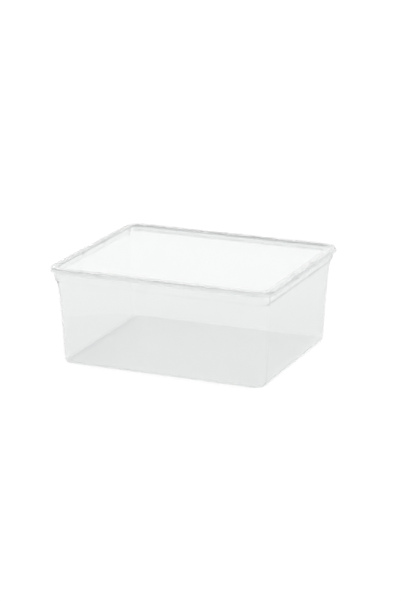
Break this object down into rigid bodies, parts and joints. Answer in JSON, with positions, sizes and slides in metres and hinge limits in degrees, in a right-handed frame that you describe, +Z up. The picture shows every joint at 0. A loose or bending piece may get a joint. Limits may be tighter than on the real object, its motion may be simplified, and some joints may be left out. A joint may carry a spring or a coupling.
{
  "type": "shoe box",
  "caption": "Clear stackable shoe box: a tapered thin-walled tub with a rounded rim, and a lift-off lid with a short skirt and a stacking recess.",
  "frame": {"origin": "centre of the flat base, on the surface that the box stands on", "axes": "+X along the long side, +Y from the front to the back, +Z up through the lid"},
  "size_m": [0.38, 0.324, 0.159],
  "materials": {
    "tub_plastic": "clear moulded polypropylene, glossy outside",
    "lid_plastic": "clear moulded polypropylene, glossy"
  },
  "bodies": {
    "tub": {"tub": "tub_plastic"},
    "lid": {"lid": "lid_plastic"}
  },
  "joints": [
    {"name": "lid_lift", "type": "slide", "parent": "tub", "child": "lid", "axis": [0, 0, 1], "range_m": [0, 0.15]}
  ]
}
